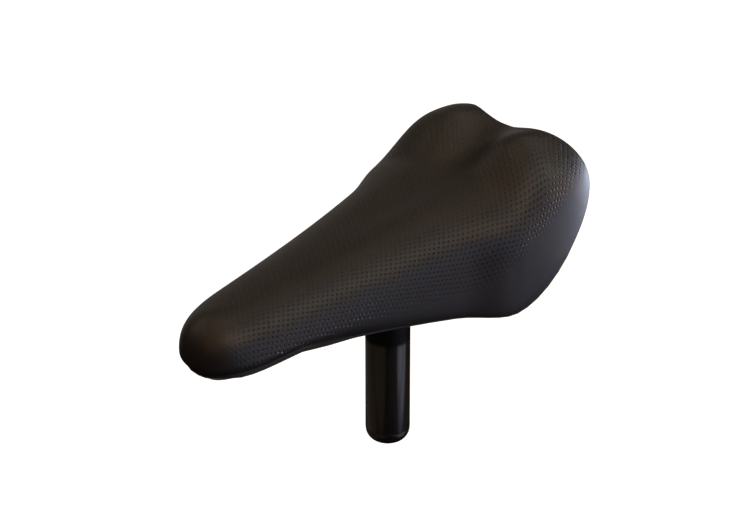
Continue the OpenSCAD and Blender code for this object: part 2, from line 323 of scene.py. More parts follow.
def cut(piece: Piece, cutters: list[Piece]) -> None:
    """Cuts holes with other pieces, which are then removed.

    Args:
        piece: The piece to cut.
        cutters: What is taken out of it.
    """
    for cutter in cutters:
        modifier = piece.modifiers.new("hole", "BOOLEAN")
        modifier.operation = "DIFFERENCE"
        modifier.solver = "EXACT"
        modifier.object = cutter
    apply_modifiers(piece)
    for cutter in cutters:
        bpy.data.objects.remove(cutter)


def at_screw(piece: Piece, name: str, signs: tuple) -> Piece:
    """Copies a piece with its own mesh to one of the four screws.

    Args:
        piece: What is copied, modelled on the part's axis.
        name: Name of the copy.
        signs: Which side of the post it goes to, along and across.

    Returns:
        The copy.
    """
    other = piece.copy()
    other.data = piece.data.copy()
    other.name = other.data.name = name
    link(other)
    other.location = Vector([s * span / 2 for s, span in zip(signs, SCREW_SPAN)] + [0.0]) * MM
    seat(other)
    return other


@dataclass
class Graph:
    """A thin wrapper that keeps node building short.

    Attributes:
        tree: The node tree being filled.
    """

    tree: Tree

    def find(self, kind: str) -> Node:
        """Finds the first node of a type.

        Args:
            kind: Blender's short type name.

        Returns:
            The node.
        """
        return next(node for node in self.tree.nodes if node.type == kind)

    def node(self, kind: str, **settings: object) -> Node:
        """Adds a node.

        Args:
            kind: Blender's node type name, without its prefix.
            **settings: Attributes of the node.

        Returns:
            The new node.
        """
        made = self.tree.nodes.new("ShaderNode" + kind)
        for name, value in settings.items():
            setattr(made, name, value)
        return made

    def put(self, node: Node, **values: object) -> Node:
        """Links a node's inputs, or sets their constants.

        Args:
            node: The node.
            **values: Output sockets or constants, by the input's name with _ for a space.

        Returns:
            The same node.
        """
        for name, value in values.items():
            socket = node.inputs[name.replace("_", " ")]
            if isinstance(value, bpy.types.NodeSocket):
                self.tree.links.new(value, socket)
            else:
                socket.default_value = value
        return node

    def fill(self, node: Node, *values: object) -> Node:
        """Links a node's first inputs, or sets their constants.

        Args:
            node: The node.
            *values: Output sockets or constants.

        Returns:
            The same node.
        """
        for socket, value in zip(node.inputs, values):
            if isinstance(value, bpy.types.NodeSocket):
                self.tree.links.new(value, socket)
            else:
                socket.default_value = value
        return node

    def math(self, operation: str, *values: object) -> object:
        """Adds a Math node.

        Args:
            operation: Blender's operation name.
            *values: Its one or two values.

        Returns:
            Its output socket.
        """
        return self.fill(self.node("Math", operation=operation), *values).outputs[0]

    def span(self, value: object, low: float, high: float, to_low: float = 0.0,
             to_high: float = 1.0) -> object:
        """Maps a range onto another, with a smooth step.

        Args:
            value: What is mapped.
            low: Start of the range.
            high: End of the range.
            to_low: Result at the start.
            to_high: Result at the end.

        Returns:
            Its output socket.
        """
        made = self.node("MapRange", interpolation_type="SMOOTHSTEP")
        return self.fill(made, value, low, high, to_low, to_high).outputs[0]

    def mix(self, factor: object, a: object, b: object) -> object:
        """Mixes two colours.

        Args:
            factor: Mix factor.
            a: Colour at 0.
            b: Colour at 1.

        Returns:
            The mixed colour socket.
        """
        made = self.put(self.node("Mix", data_type="RGBA"), Factor=factor)
        for index, colour in ((6, a), (7, b)):
            if isinstance(colour, bpy.types.NodeSocket):
                self.tree.links.new(colour, made.inputs[index])
            else:
                made.inputs[index].default_value = colour
        return made.outputs[2]

    def blend(self, factor: object, a: Node, b: Node, output: Node) -> None:
        """Mixes two shaders into the output.

        Args:
            factor: Mix factor.
            a: Shader at 0.
            b: Shader at 1.
            output: The material's or the world's output.
        """
        made = self.fill(self.node("MixShader"), factor, a.outputs[0], b.outputs[0])
        self.fill(output, made.outputs[0])

    def bump(self, height: object, strength: float, distance: float, **settings: object) -> Node:
        """Adds a Bump node.

        Args:
            height: Its height.
            strength: Its strength.
            distance: Its depth in metres.
            **settings: Attributes of the node.

        Returns:
            The node.
        """
        return self.put(self.node("Bump", **settings), Height=height, Strength=strength,
                        Distance=distance)


def new_group(name: str, inputs: dict[str, float], outputs: list[str]) -> tuple[Graph, Node, Node]:
    """Starts a shader node group with float sockets.

    Args:
        name: Group name.
        inputs: Float inputs with defaults; "Vector" is always the first input.
        outputs: Float outputs.

    Returns:
        The graph, its input node and its output node.
    """
    tree = bpy.data.node_groups.new(name, "ShaderNodeTree")
    tree.interface.new_socket("Vector", in_out="INPUT", socket_type="NodeSocketVector")
    for key, default in inputs.items():
        made = tree.interface.new_socket(key, in_out="INPUT", socket_type="NodeSocketFloat")
        made.default_value = default
    for key in outputs:
        tree.interface.new_socket(key, in_out="OUTPUT", socket_type="NodeSocketFloat")
    return Graph(tree), tree.nodes.new("NodeGroupInput"), tree.nodes.new("NodeGroupOutput")


def build_grain_group() -> Tree:
    """Fine moulding grain with broad tone changes and rare light specks.

    Returns:
        The node group, with outputs Height, Tone and Specks.
    """
    graph, source, sink = new_group(
        "fine_grain", {"Grain Scale": 2500.0, "Tone Scale": 30.0, "Speck Scale": 900.0},
        ["Height", "Tone", "Specks"])
    vector = source.outputs["Vector"]
    for key, scale, detail in (("Height", "Grain Scale", 2.0), ("Tone", "Tone Scale", 3.0)):
        noise = graph.put(graph.node("TexNoise"), Vector=vector, Scale=source.outputs[scale],
                          Detail=detail)
        graph.put(sink, **{key: noise.outputs["Fac"]})
    cells = graph.put(graph.node("TexVoronoi", feature="F1"), Vector=vector,
                      Scale=source.outputs["Speck Scale"])
    near = graph.span(cells.outputs["Distance"], 0.0, 0.11, 1.0, 0.0)
    split = graph.fill(graph.node("SeparateColor"), cells.outputs["Color"])
    rare = graph.math("GREATER_THAN", split.outputs[0], 0.965)
    graph.put(sink, Specks=graph.math("MULTIPLY", near, rare))
    return graph.tree


def build_dot_group() -> Tree:
    """Slanted lattice of small embossed pits.

    Returns:
        The node group, with the output Pits, 1 at the middle of a pit.
    """
    steps = {"Row Along": -0.00275, "Row Across": 0.00113, "Next Along": 0.00142,
             "Next Across": 0.00195}
    graph, source, sink = new_group("dot_lattice", steps, ["Pits"])
    row_u, row_v, next_u, next_v = (source.outputs[key] for key in steps)
    split = graph.fill(graph.node("SeparateXYZ"), source.outputs["Vector"])
    u, v = split.outputs[0], split.outputs[1]

    def crossed(a: object, b: object, c: object, d: object) -> object:
        """Adds a * b - c * d.

        Args:
            a: First value.
            b: Second value.
            c: Third value.
            d: Fourth value.

        Returns:
            The output socket.
        """
        return graph.math("SUBTRACT", graph.math("MULTIPLY", a, b), graph.math("MULTIPLY", c, d))

    area = crossed(row_u, next_v, row_v, next_u)
    waves = []
    for part in (crossed(u, next_v, v, next_u), crossed(row_u, v, row_v, u)):
        turns = graph.math("DIVIDE", part, area)
        waves.append(graph.math("COSINE", graph.math("MULTIPLY", turns, 2.0 * math.pi)))
    graph.put(sink, Pits=graph.span(graph.math("ADD", *waves), 0.85, 1.85))
    return graph.tree


class Groups:
    """The node groups that several materials share."""

    def __init__(self) -> None:
        """Builds both groups once."""
        self.grain = build_grain_group()
        self.dots = build_dot_group()


@dataclass
class Finish:
    """What every material starts from.

    Attributes:
        name: Material name.
        groups: Shared node groups.
        scales: Grain, tone and speck cells per metre.
        stretch: Scale of the grain's coordinates on each axis.
    """

    name: str
    groups: Groups
    scales: tuple
    stretch: tuple = ()

    def __post_init__(self) -> None:
        """Starts the material with its shader, coordinates and grain."""
        self.material = bpy.data.materials.new(self.name)
        self.material.use_nodes = True
        self.graph = Graph(self.material.node_tree)
        self.shader = self.graph.find("BSDF_PRINCIPLED")
        self.place = self.graph.node("TexCoord").outputs["Object"]
        vector = self.place
        if self.stretch:
            turned = self.graph.put(self.graph.node("Mapping"), Scale=self.stretch, Vector=vector)
            vector = turned.outputs[0]
        grain, tone, speck = self.scales
        made = self.graph.put(self.graph.node("Group", node_tree=self.groups.grain), Vector=vector,
                              Grain_Scale=grain, Tone_Scale=tone, Speck_Scale=speck)
        self.grain, self.tone, self.specks = made.outputs

    def colour(self, low: float, high: float, most: float, dark: tuple, light: tuple) -> object:
        """Colour that follows the broad tone changes.

        Args:
            low: Tone where the dark colour ends.
            high: Tone where the light colour is reached.
            most: Greatest share of the light colour.
            dark: Darker colour.
            light: Lighter colour.

        Returns:
            The colour socket.
        """
        return self.graph.mix(self.graph.span(self.tone, low, high, 0.0, most), dark, light)

    def dusted(self, colour: object, amount: float, dust: tuple) -> object:
        """Colour with the rare light specks on it.

        Args:
            colour: The colour below.
            amount: How strongly the specks show.
            dust: Their colour.

        Returns:
            The colour socket.
        """
        return self.graph.mix(self.graph.math("MULTIPLY", self.specks, amount), colour, dust)


@dataclass(frozen=True)
class SkinFinish:
    """Warm black moulded vinyl with embossed dots that fade towards the edge; their pits are
    darkened as painted shade.

    Attributes:
        dark: Base colour.
        light: Colour of the worn high spots.
        pit: Painted shade, a darker colour deep in the embossed pits.
        pit_shade_share: How much of that painted shade shows.
        speck: Colour of the rare bright specks.
        roughness: Mean roughness.
        pit_roughness: Roughness in the pits, where the press polished the vinyl.
        pit_depth: Emboss depth in metres.
        scales: Grain, tone and speck cells per metre.
    """

    dark: tuple = (0.0135, 0.0112, 0.0102, 1.0)
    light: tuple = (0.021, 0.0175, 0.0158, 1.0)
    pit: tuple = (0.003, 0.0026, 0.0024, 1.0)
    pit_shade_share: float = 0.2
    speck: tuple = (0.22, 0.21, 0.2, 1.0)
    roughness: float = 0.44
    pit_roughness: float = 0.28
    pit_depth: float = 0.00072
    scales: tuple = (1900.0, 24.0, 260.0)

    def build(self, groups: Groups) -> Material:
        """Builds the material.

        Args:
            groups: Shared node groups.

        Returns:
            The material.
        """
        base = Finish("moulded_skin", groups, self.scales)
        graph = base.graph
        uv = graph.node("UVMap", uv_map="surface")
        dots = graph.put(graph.node("Group", node_tree=groups.dots), Vector=uv.outputs["UV"])
        mask = graph.node("Attribute", attribute_name="emboss")
        pits = graph.math("MULTIPLY", dots.outputs["Pits"], mask.outputs["Fac"])
        tone = base.colour(0.35, 0.7, 0.6, self.dark, self.light)
        # Painted shade: the pits are darkened towards the pit colour.
        tone = graph.mix(graph.math("MULTIPLY", pits, self.pit_shade_share), tone, self.pit)
        rough = graph.span(base.tone, 0.3, 0.75, self.roughness - 0.04, self.roughness + 0.05)
        pressed = graph.math("MULTIPLY", pits, self.roughness - self.pit_roughness)
        fine = graph.bump(base.grain, 0.35, 0.00012)
        emboss = graph.bump(pits, 1.0, self.pit_depth, invert=True)
        graph.put(emboss, Normal=fine.outputs["Normal"])
        graph.put(base.shader, Base_Color=base.dusted(tone, 0.8, self.speck),
                  Roughness=graph.math("SUBTRACT", rough, pressed),
                  Normal=emboss.outputs["Normal"])
        return base.material


@dataclass(frozen=True)
class MouldedFinish:
    """A moulded or coated finish with fine grain and slight tone changes.

    Attributes:
        name: Material name.
        dark: Darker colour.
        light: Lighter colour.
        roughness: Mean roughness.
        metallic: 0 or 1.
        grain_scale: Cells per metre of the fine grain.
        grain_depth: Bump distance in metres.
        dust: How strongly dust specks show.
    """

    name: str
    dark: tuple
    light: tuple
    roughness: float
    metallic: float = 0.0
    grain_scale: float = 2500.0
    grain_depth: float = 0.00008
    dust: float = 0.3

    def build(self, groups: Groups) -> Material:
        """Builds the material.

        Args:
            groups: Shared node groups.

        Returns:
            The material.
        """
        base = Finish(self.name, groups, (self.grain_scale, 45.0, 500.0))
        graph = base.graph
        tone = base.colour(0.32, 0.7, 1.0, self.dark, self.light)
        bump = graph.bump(base.grain, 0.6, self.grain_depth)
        graph.put(base.shader, Base_Color=base.dusted(tone, self.dust, DUST),
                  Roughness=graph.span(base.tone, 0.3, 0.7, self.roughness * 0.88,
                                       self.roughness * 1.12),
                  Metallic=self.metallic, Normal=bump.outputs["Normal"])
        return base.material


@dataclass(frozen=True)
class PostFinish:
    """Glossy black stove enamel, with the saddle's shadow painted on its top: dark and without
    gloss above an edge below the weld.

    Attributes:
        dark: Base colour.
        warm: Colour of the slightly browned runs.
        shaded_top: Painted shadow of the saddle, the colour of the post's top.
        speck: Colour of the specks.
        gloss: Roughness of the clear top layer.
        shine: Reflection of the enamel below the clear layer.
        shade_band: Heights between which the painted shadow begins and the gloss ends, in metres.
        wander: How far the painted shadow's edge wanders, in metres.
        scales: Grain, tone and speck cells per metre.
        stretch: The runs are longer along the post.
    """

    dark: tuple = (0.0068, 0.0064, 0.0064, 1.0)
    warm: tuple = (0.0125, 0.0092, 0.0078, 1.0)
    shaded_top: tuple = (0.003, 0.003, 0.0032, 1.0)
    speck: tuple = (0.12, 0.11, 0.1, 1.0)
    gloss: float = 0.17
    shine: float = 0.12
    shade_band: tuple = (0.0565, 0.0595)
    wander: float = 0.002
    scales: tuple = (700.0, 120.0, 420.0)
    stretch: tuple = (1.0, 1.0, 0.3)

    def build(self, groups: Groups) -> Material:
        """Builds the material.

        Args:
            groups: Shared node groups.

        Returns:
            The material.
        """
        base = Finish("post_enamel", groups, self.scales, self.stretch)
        graph = base.graph
        split = graph.fill(graph.node("SeparateXYZ"), base.place)
        wobble = graph.math("MULTIPLY", base.tone, self.wander)
        height = graph.math("ADD", split.outputs[2], wobble)
        # Painted shadow of the saddle on the post's top: above this edge the colour turns dark and
        # the gloss coat is left off.
        clear = graph.span(height, *self.shade_band, 1.0, 0.0)
        tone = base.dusted(base.colour(0.45, 0.72, 1.0, self.dark, self.warm), 0.25, self.speck)
        bump = graph.bump(base.grain, 0.5, 0.00004)
        graph.put(base.shader, Base_Color=graph.mix(clear, self.shaded_top, tone),
                  Roughness=graph.span(base.tone, 0.3, 0.7, 0.5, 0.62),
                  Specular_IOR_Level=self.shine, Coat_Weight=clear, Coat_Roughness=self.gloss,
                  Normal=bump.outputs["Normal"])
        return base.material


FINISHES = {
    "skin": SkinFinish(),
    "foam": MouldedFinish("foam_edge", (0.03, 0.028, 0.026, 1), (0.055, 0.05, 0.047, 1), 0.9,
                          grain_scale=1400.0, grain_depth=0.0004),
    "base": MouldedFinish("base_plastic", (0.005, 0.005, 0.0055, 1), (0.008, 0.008, 0.0085, 1),
                          0.6, grain_scale=3000.0, grain_depth=0.00006),
    "powder": MouldedFinish("powder_coat", (0.0065, 0.0066, 0.0075, 1),
                            (0.0095, 0.0097, 0.0108, 1), 0.2, grain_scale=900.0,
                            grain_depth=0.00003),
    "post": PostFinish(),
    "plug": MouldedFinish("plug_plastic", (0.0075, 0.0072, 0.0072, 1), (0.011, 0.0105, 0.0105, 1),
                          0.25, grain_scale=900.0, grain_depth=0.00003),
    "oxide": MouldedFinish("black_oxide", (0.03, 0.03, 0.033, 1), (0.05, 0.05, 0.054, 1), 0.38,
                           metallic=1.0),
    "zinc": MouldedFinish("zinc_plate", (0.5, 0.51, 0.54, 1), (0.64, 0.65, 0.67, 1), 0.34,
                          metallic=1.0, grain_depth=0.00004),
    "brass": MouldedFinish("turned_brass", (0.55, 0.38, 0.16, 1), (0.68, 0.5, 0.24, 1), 0.32,
                           metallic=1.0, grain_depth=0.00004),
    "floor": MouldedFinish("pale_floor", (0.86, 0.86, 0.86, 1), (0.9, 0.9, 0.9, 1), 0.8,
                           grain_scale=60.0, grain_depth=0.0001, dust=0.0),
}
Finishes = dict[str, Material]


def end_slope(a: float, b: float, h: float, g: float) -> float:
    """Slope at the end of a curve, from its two nearest spans.

    Args:
        a: Slope of the end span.
        b: Slope of the next span.
        h: Length of the end span.
        g: Length of the next span.

    Returns:
        The end slope, held back where it would overshoot.
    """
    d = ((2 * h + g) * a - h * b) / (h + g)
    if d * a <= 0:
        return 0.0
    return 3 * a if a * b <= 0 and abs(d) > 3 * abs(a) else d


def curve(xs: list[float], ys: list[float], x: Row) -> Row:
    """Smooth curve through a few heights that never overshoots them.

    Args:
        xs: Rising stations.
        ys: Heights at them.
        x: Where the curve is read.

    Returns:
        Heights, shaped like x.
    """
    steps = np.diff(xs)
    slopes = np.diff(ys) / steps
    knots = [end_slope(slopes[0], slopes[1], steps[0], steps[1])]
    for k in range(1, len(slopes)):
        a, b, h, g = slopes[k - 1], slopes[k], steps[k - 1], steps[k]
        knots.append(0.0 if a * b <= 0 else 3 * (h + g) / ((2 * g + h) / a + (g + 2 * h) / b))
    knots.append(end_slope(slopes[-1], slopes[-2], steps[-1], steps[-2]))
    x = np.asarray(x, float)
    k = np.clip(np.searchsorted(xs, x, side="right") - 1, 0, len(steps) - 1)
    h, a, b = steps[k], np.array(knots)[k], np.array(knots)[k + 1]
    y0, y1, t = np.array(ys)[k], np.array(ys)[k + 1], (x - np.array(xs)[k]) / steps[k]
    return ((2 * t**3 - 3 * t**2 + 1) * y0 + (t**3 - 2 * t**2 + t) * h * a
            + (3 * t**2 - 2 * t**3) * y1 + (t**3 - t**2) * h * b)


@dataclass
class SaddleForm:
    """Sizes of the padded saddle, the same values as the part's source.

    Attributes are lengths in millimetres; heights are over the deck of the base.
    """

    length: float = 263.0
    width: float = 115.6
    notch_depth: float = 6.0
    lobe_offset: float = 45.6
    wing_station: float = 65.8
    waist_station: float = 103.6
    waist_width: float = 90.6
    waist_slope: float = -0.218
    nose_station: float = 226.4
    nose_width: float = 54.6
    nose_slope: float = -0.116
    tail_crest: float = 65.6
    middle_crest: float = 48.6
    nose_crest: float = 29.0
    lobe_rise: float = 16.6
    channel_half_width: float = 48.6
    channel_narrow_width: float = 26.6
    channel_narrow_length: float = 46.0
    groove_depth: float = 3.2
    groove_half_width: float = 17.0
    groove_start: float = 15.0
    groove_full: float = 60.0
    groove_fade: float = 95.0
    groove_end: float = 165.0
    channel_end: float = 75.2
    channel_lift: float = 10.0
    tail_fall: float = 12.0
    lobe_fall: float = 2.2
    tail_fall_length: float = 50.8
    tail_girth: float = 24.2
    lobe_girth_rise: float = 9.2
    nose_girth: float = 5.4
    tail_hem: float = 17.6
    wing_hem: float = -18.8
    waist_hem: float = -12.2
    nose_hem: float = 11.6
    flank_roll: float = 5.4
    tail_squareness: float = 2.25
    nose_squareness: float = 2.35
    square_reach: float = 48.8
    skin: float = 1.2
    slit: float = 0.8
    post_station: float = 115.4
    deck: float = 94.2
    spine_start: float = 35.8
    spine_step: float = 1.3
    spine_end: float = 22.0
    flank_angle: float = 68.0
    points: tuple = (12, 18, 12, 14, 16)
    half: Row = field(init=False)
    spine: Row = field(init=False)
    out: Row = field(init=False)
    girth: Row = field(init=False)
    hem: Row = field(init=False)
    square: Row = field(init=False)

    def __post_init__(self) -> None:
        """Works out the half outline and everything that varies along it."""
        end, lobe, half = self.length, self.lobe_offset, self.width / 2
        wing, waist, nose = self.wing_station, self.waist_station, self.nose_station
        waist_half, nose_half = self.waist_width / 2, self.nose_width / 2
        bulge, reach = 0.858 * (half - lobe), 0.336 * wing
        first, second, tip = (waist - wing) / 2.6, (nose - waist) / 3, end - nose
        chain = [
            ((self.notch_depth, 0), (self.notch_depth, lobe * 0.665), (0, lobe * 0.914), (0, lobe)),
            ((0, lobe), (0, lobe + bulge), (wing - reach, half), (wing, half)),
            ((wing, half), (wing + first, half),
             (waist - first, waist_half - self.waist_slope * first), (waist, waist_half)),
            ((waist, waist_half), (waist + second, waist_half + self.waist_slope * second),
             (nose - second, nose_half - self.nose_slope * second), (nose, nose_half)),
            ((nose, nose_half), (nose + 0.6 * tip, nose_half + 0.6 * self.nose_slope * tip),
             (end, self.nose_width * 0.31), (end, 0)),
        ]
        parts = []
        for count, knots in zip(self.points, chain):
            t = np.linspace(0, 1, count, endpoint=False)[:, None]
            a, b, c, d = (np.array(k, float) for k in knots)
            parts.append((1 - t) ** 3 * a + 3 * (1 - t) ** 2 * t * b
                         + 3 * (1 - t) * t * t * c + t**3 * d)
        self.half = np.vstack(parts + [np.array([[end, 0.0]])])
        x, y = self.half[:, 0], self.half[:, 1]
        spine = self.spine_start + (end - self.spine_end - self.spine_start) * x / end
        first_lobe = self.points[0]
        spine[:first_lobe] = (self.spine_start - self.spine_step * 6 / first_lobe
                              * (first_lobe - np.arange(first_lobe)))
        self.spine = np.column_stack([spine, 0 * spine])
        self.out = self.half - self.spine
        self.girth = (self.tail_girth + (self.nose_girth - self.tail_girth) * x / end
                      + self.lobe_girth_rise * ramp(0, self.channel_half_width, y)
                      * (1 - ramp(20, self.channel_end, x)))
        hems = [self.tail_hem, self.wing_hem, self.waist_hem, self.nose_hem]
        self.hem = np.minimum(curve([0, wing, waist, end], hems, x), self.girth - 5)
        self.square = (self.tail_squareness + (self.nose_squareness - self.tail_squareness)
                       * ramp(0, self.square_reach, x))

    def crest(self, x: Row, y: Row) -> Row:
        """Height of the seat's top before its shoulder falls away.

        Args:
            x: Distances from the tail.
            y: Sideways distances.

        Returns:
            Heights over the deck.
        """
        base = curve([0, 0.9 * self.waist_station, self.length],
                     [self.tail_crest, self.middle_crest, self.nose_crest], x)
        width = (self.channel_half_width
                 + (self.channel_narrow_width - self.channel_half_width)
                 * ramp(0, self.channel_narrow_length, x))
        side = ramp(0, 1, np.abs(y) / width)
        groove = (self.groove_depth * (1 - ramp(0, self.groove_half_width, np.abs(y)))
                  * ramp(self.groove_start, self.groove_full, x)
                  * (1 - ramp(self.groove_fade, self.groove_end, x)))
        return (base + self.lobe_rise * side * (1 - ramp(40, self.channel_end, x))
                + self.channel_lift * (1 - side) * (1 - ramp(0, 60, x)) - groove
                - (self.tail_fall + self.lobe_fall * side)
                * np.maximum(0, 1 - x / self.tail_fall_length) ** 2)

    def shoulder(self, angle: float) -> Row:
        """One row of half points over the shoulder.

        Args:
            angle: 0 on the spine, 90 at the widest line, in degrees.

        Returns:
            Points from the notch to the nose.
        """
        a = math.radians(angle)
        r = math.sin(a) ** (2 / self.square)
        x = self.spine[:, 0] + self.out[:, 0] * r
        y = self.half[:, 1] * r
        fall = max(0.0, math.cos(a)) ** (2 / self.square)
        return np.column_stack([x, y, self.girth + (self.crest(x, y) - self.girth) * fall])

    def unit(self) -> Row:
        """Unit directions from the spine to the half outline.

        Returns:
            The directions, one for each half point.
        """
        return self.out / np.linalg.norm(self.out, axis=1, keepdims=True)

    def flank(self, angle: float) -> Row:
        """One row of half points down the flank.

        Args:
            angle: 0 at the widest line, the flank angle at the lower edge.

        Returns:
            Points from the notch to the nose.
        """
        a = math.radians(angle)
        inwards = self.flank_roll * (1 - math.cos(a))
        down = math.sin(a) / math.sin(math.radians(self.flank_angle))
        edge = self.half - self.unit() * inwards
        return np.column_stack([edge, self.girth + (self.hem - self.girth) * down])

    def outer_rows(self, top: int, side: int) -> list[Row]:
        """Rows of the skin's outer face, from the spine to the lower edge.

        Args:
            top: Rows over the shoulder.
            side: Rows down the flank.

        Returns:
            The rows.
        """
        angles = 90 * (1 - (1 - np.linspace(0, 1, top)) ** 1.25)
        rows = [self.shoulder(float(a)) for a in angles]
        rows += [self.flank(float(a)) for a in np.linspace(0, self.flank_angle, side + 1)[1:]]
        return rows

    def offset(self, rows: list[Row], depth: float) -> list[Row]:
        """Moves rows inwards, square to the surface.

        Args:
            rows: Rows of half points.
            depth: Distance in millimetres.

        Returns:
            The moved rows.
        """
        grid = np.array(rows)
        flip = np.array([1.0, -1.0, 1.0])
        along = np.concatenate([grid[:, 1:2] * flip, grid, grid[:, -2:-1] * flip], axis=1)
        d_along = along[:, 2:] - along[:, :-2]
        d_across = np.empty_like(grid)
        d_across[1:-1] = grid[2:] - grid[:-2]
        d_across[0] = grid[1] - grid[1] * flip
        d_across[-1] = grid[-1] - grid[-2]
        normal = np.cross(d_across, d_along)
        for i in (0, -1):
            t = grid[1, i] - grid[0, 1 if i == 0 else -2]
            normal[0, i] = np.array([t[2], 0, -t[0]]) * np.sign(t[0])
        normal /= np.linalg.norm(normal, axis=2, keepdims=True)
        moved = grid + depth * normal
        moved[:, [0, -1], 1] = 0.0
        moved[0, :, 1] = 0.0
        return list(moved)

    def laid_flat(self, rows: list[Row]) -> list[Row]:
        """Lays the surface flat, so that the embossed rows run straight over it.

        Args:
            rows: Rows of half points from the spine outwards.

        Returns:
            Flat places along and across the seat, in millimetres, for each row.
        """
        share = self.unit() ** 2
        share[self.out[:, 0] < 0, 0] = 0.0
        extra, flat = np.zeros_like(share), [rows[0][:, :2]]
        for before, row in zip(rows, rows[1:]):
            step = np.abs(row - before)
            extra += np.hypot(step[:, :2], share * step[:, 2:]) - step[:, :2]
            flat.append(row[:, :2] + extra)
        return flat

    def place(self, points: Row) -> Row:
        """Turns tail-and-deck millimetres into metres in the frame.

        Args:
            points: Points measured from the tail and the deck.

        Returns:
            Points in the shared frame.
        """
        return (points + np.array([-self.post_station, 0.0, self.deck])) * MM


def ring_mesh(name: str, form: SaddleForm, rows: list[Row], masks: list[Row]) -> Piece:
    """Makes a closed, mirrored shell through rows of half points.

    Args:
        name: Piece name.
        form: The saddle's form.
        rows: Rows of half points; the first and the last lie on the spine.
        masks: Emboss strength of each row's points.

    Returns:
        The piece, with a developed "surface" UV map and an "emboss" attribute.
    """
    count = len(rows[0])
    points, ids, uvs, emboss = [], [], [], []
    for k, (row, flat, mask) in enumerate(zip(rows, form.laid_flat(rows), masks)):
        line = list(range(len(points), len(points) + count))
        points.extend(form.place(row))
        uvs.extend(flat * MM)
        emboss.extend(mask)
        if k in (0, len(rows) - 1):
            ids.append(line + line[-2:0:-1])
            continue
        points.extend(form.place(row[-2:0:-1] * np.array([1.0, -1.0, 1.0])))
        uvs.extend(flat[-2:0:-1] * np.array([1.0, -1.0]) * MM)
        emboss.extend(mask[-2:0:-1])
        ids.append(list(range(line[0], len(points))))
    faces = []
    for this, other in zip(ids, ids[1:]):
        for j, m in zip(range(len(this)), [*range(1, len(this)), 0]):
            face = list(dict.fromkeys((this[m], other[m], other[j], this[j])))
            if len(face) > 2:
                faces.append(face)
    mesh = bpy.data.meshes.new(name)
    mesh.from_pydata([tuple(p) for p in points], [], faces)
    layer = mesh.uv_layers.new(name="surface")
    for loop in mesh.loops:
        layer.data[loop.index].uv = uvs[loop.vertex_index]
    mesh.attributes.new("emboss", "FLOAT", "POINT").data.foreach_set("value", emboss)
    work = bmesh.new()
    work.from_mesh(mesh)
    bmesh.ops.recalc_face_normals(work, faces=work.faces)
    work.to_mesh(mesh)
    work.free()
    piece = bpy.data.objects.new(name, mesh)
    link(piece)
    return piece


